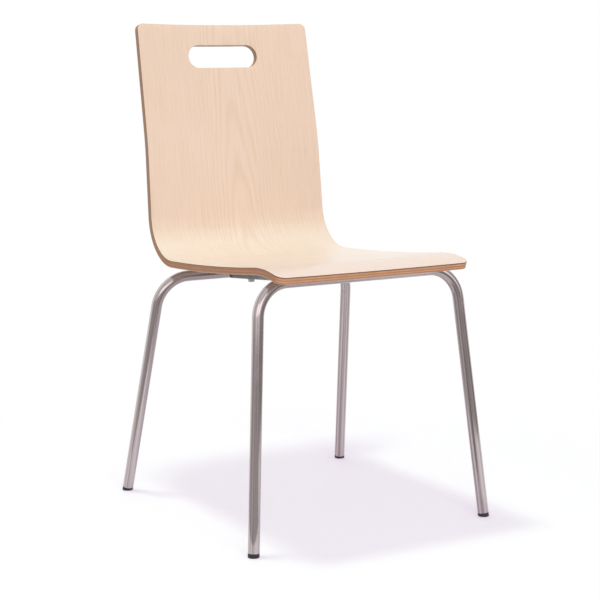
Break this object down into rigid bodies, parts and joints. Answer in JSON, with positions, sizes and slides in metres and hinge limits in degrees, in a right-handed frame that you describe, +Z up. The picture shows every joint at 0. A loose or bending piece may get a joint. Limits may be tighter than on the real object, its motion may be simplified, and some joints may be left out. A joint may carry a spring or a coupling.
{
  "type": "stacking chair",
  "caption": "Stacking chair with a bent plywood shell, woodgrain faces and a hand slot in its back, bolted to splayed round steel tube legs with plastic foot plugs.",
  "frame": {"origin": "on the floor, under the middle of the chair's box", "axes": "+Z up; the chair faces -Y; +X is to the right of someone who faces its front"},
  "size_m": [0.4752, 0.5498, 0.8395],
  "materials": {
    "woodgrain_laminate": "satin woodgrain laminate",
    "plywood": "cut and sealed plywood edge",
    "leg_tube": "polished drawn steel tube",
    "seat_rail": "satin steel",
    "fastener": "zinc plated",
    "foot_plug": "moulded black plastic",
    "seat_pad": "matte black"
  },
  "bodies": {
    "root": {"face_laminate": "woodgrain_laminate", "plywood_core": "plywood", "under_laminate": "woodgrain_laminate", "front_leg_tube": "leg_tube", "rear_leg_tube": "leg_tube", "left_seat_rail": "seat_rail", "right_seat_rail": "seat_rail", "front_left_foot_plug": "foot_plug", "front_left_seat_bolt": "fastener", "front_left_seat_washer": "fastener", "front_left_nut_insert": "fastener", "front_left_seat_pad": "seat_pad", "front_right_foot_plug": "foot_plug", "front_right_seat_bolt": "fastener", "front_right_seat_washer": "fastener", "front_right_nut_insert": "fastener", "front_right_seat_pad": "seat_pad", "rear_left_foot_plug": "foot_plug", "rear_left_seat_bolt": "fastener", "rear_left_seat_washer": "fastener", "rear_left_nut_insert": "fastener", "rear_left_seat_pad": "seat_pad", "rear_right_foot_plug": "foot_plug", "rear_right_seat_bolt": "fastener", "rear_right_seat_washer": "fastener", "rear_right_nut_insert": "fastener", "rear_right_seat_pad": "seat_pad"}
  },
  "joints": []
}
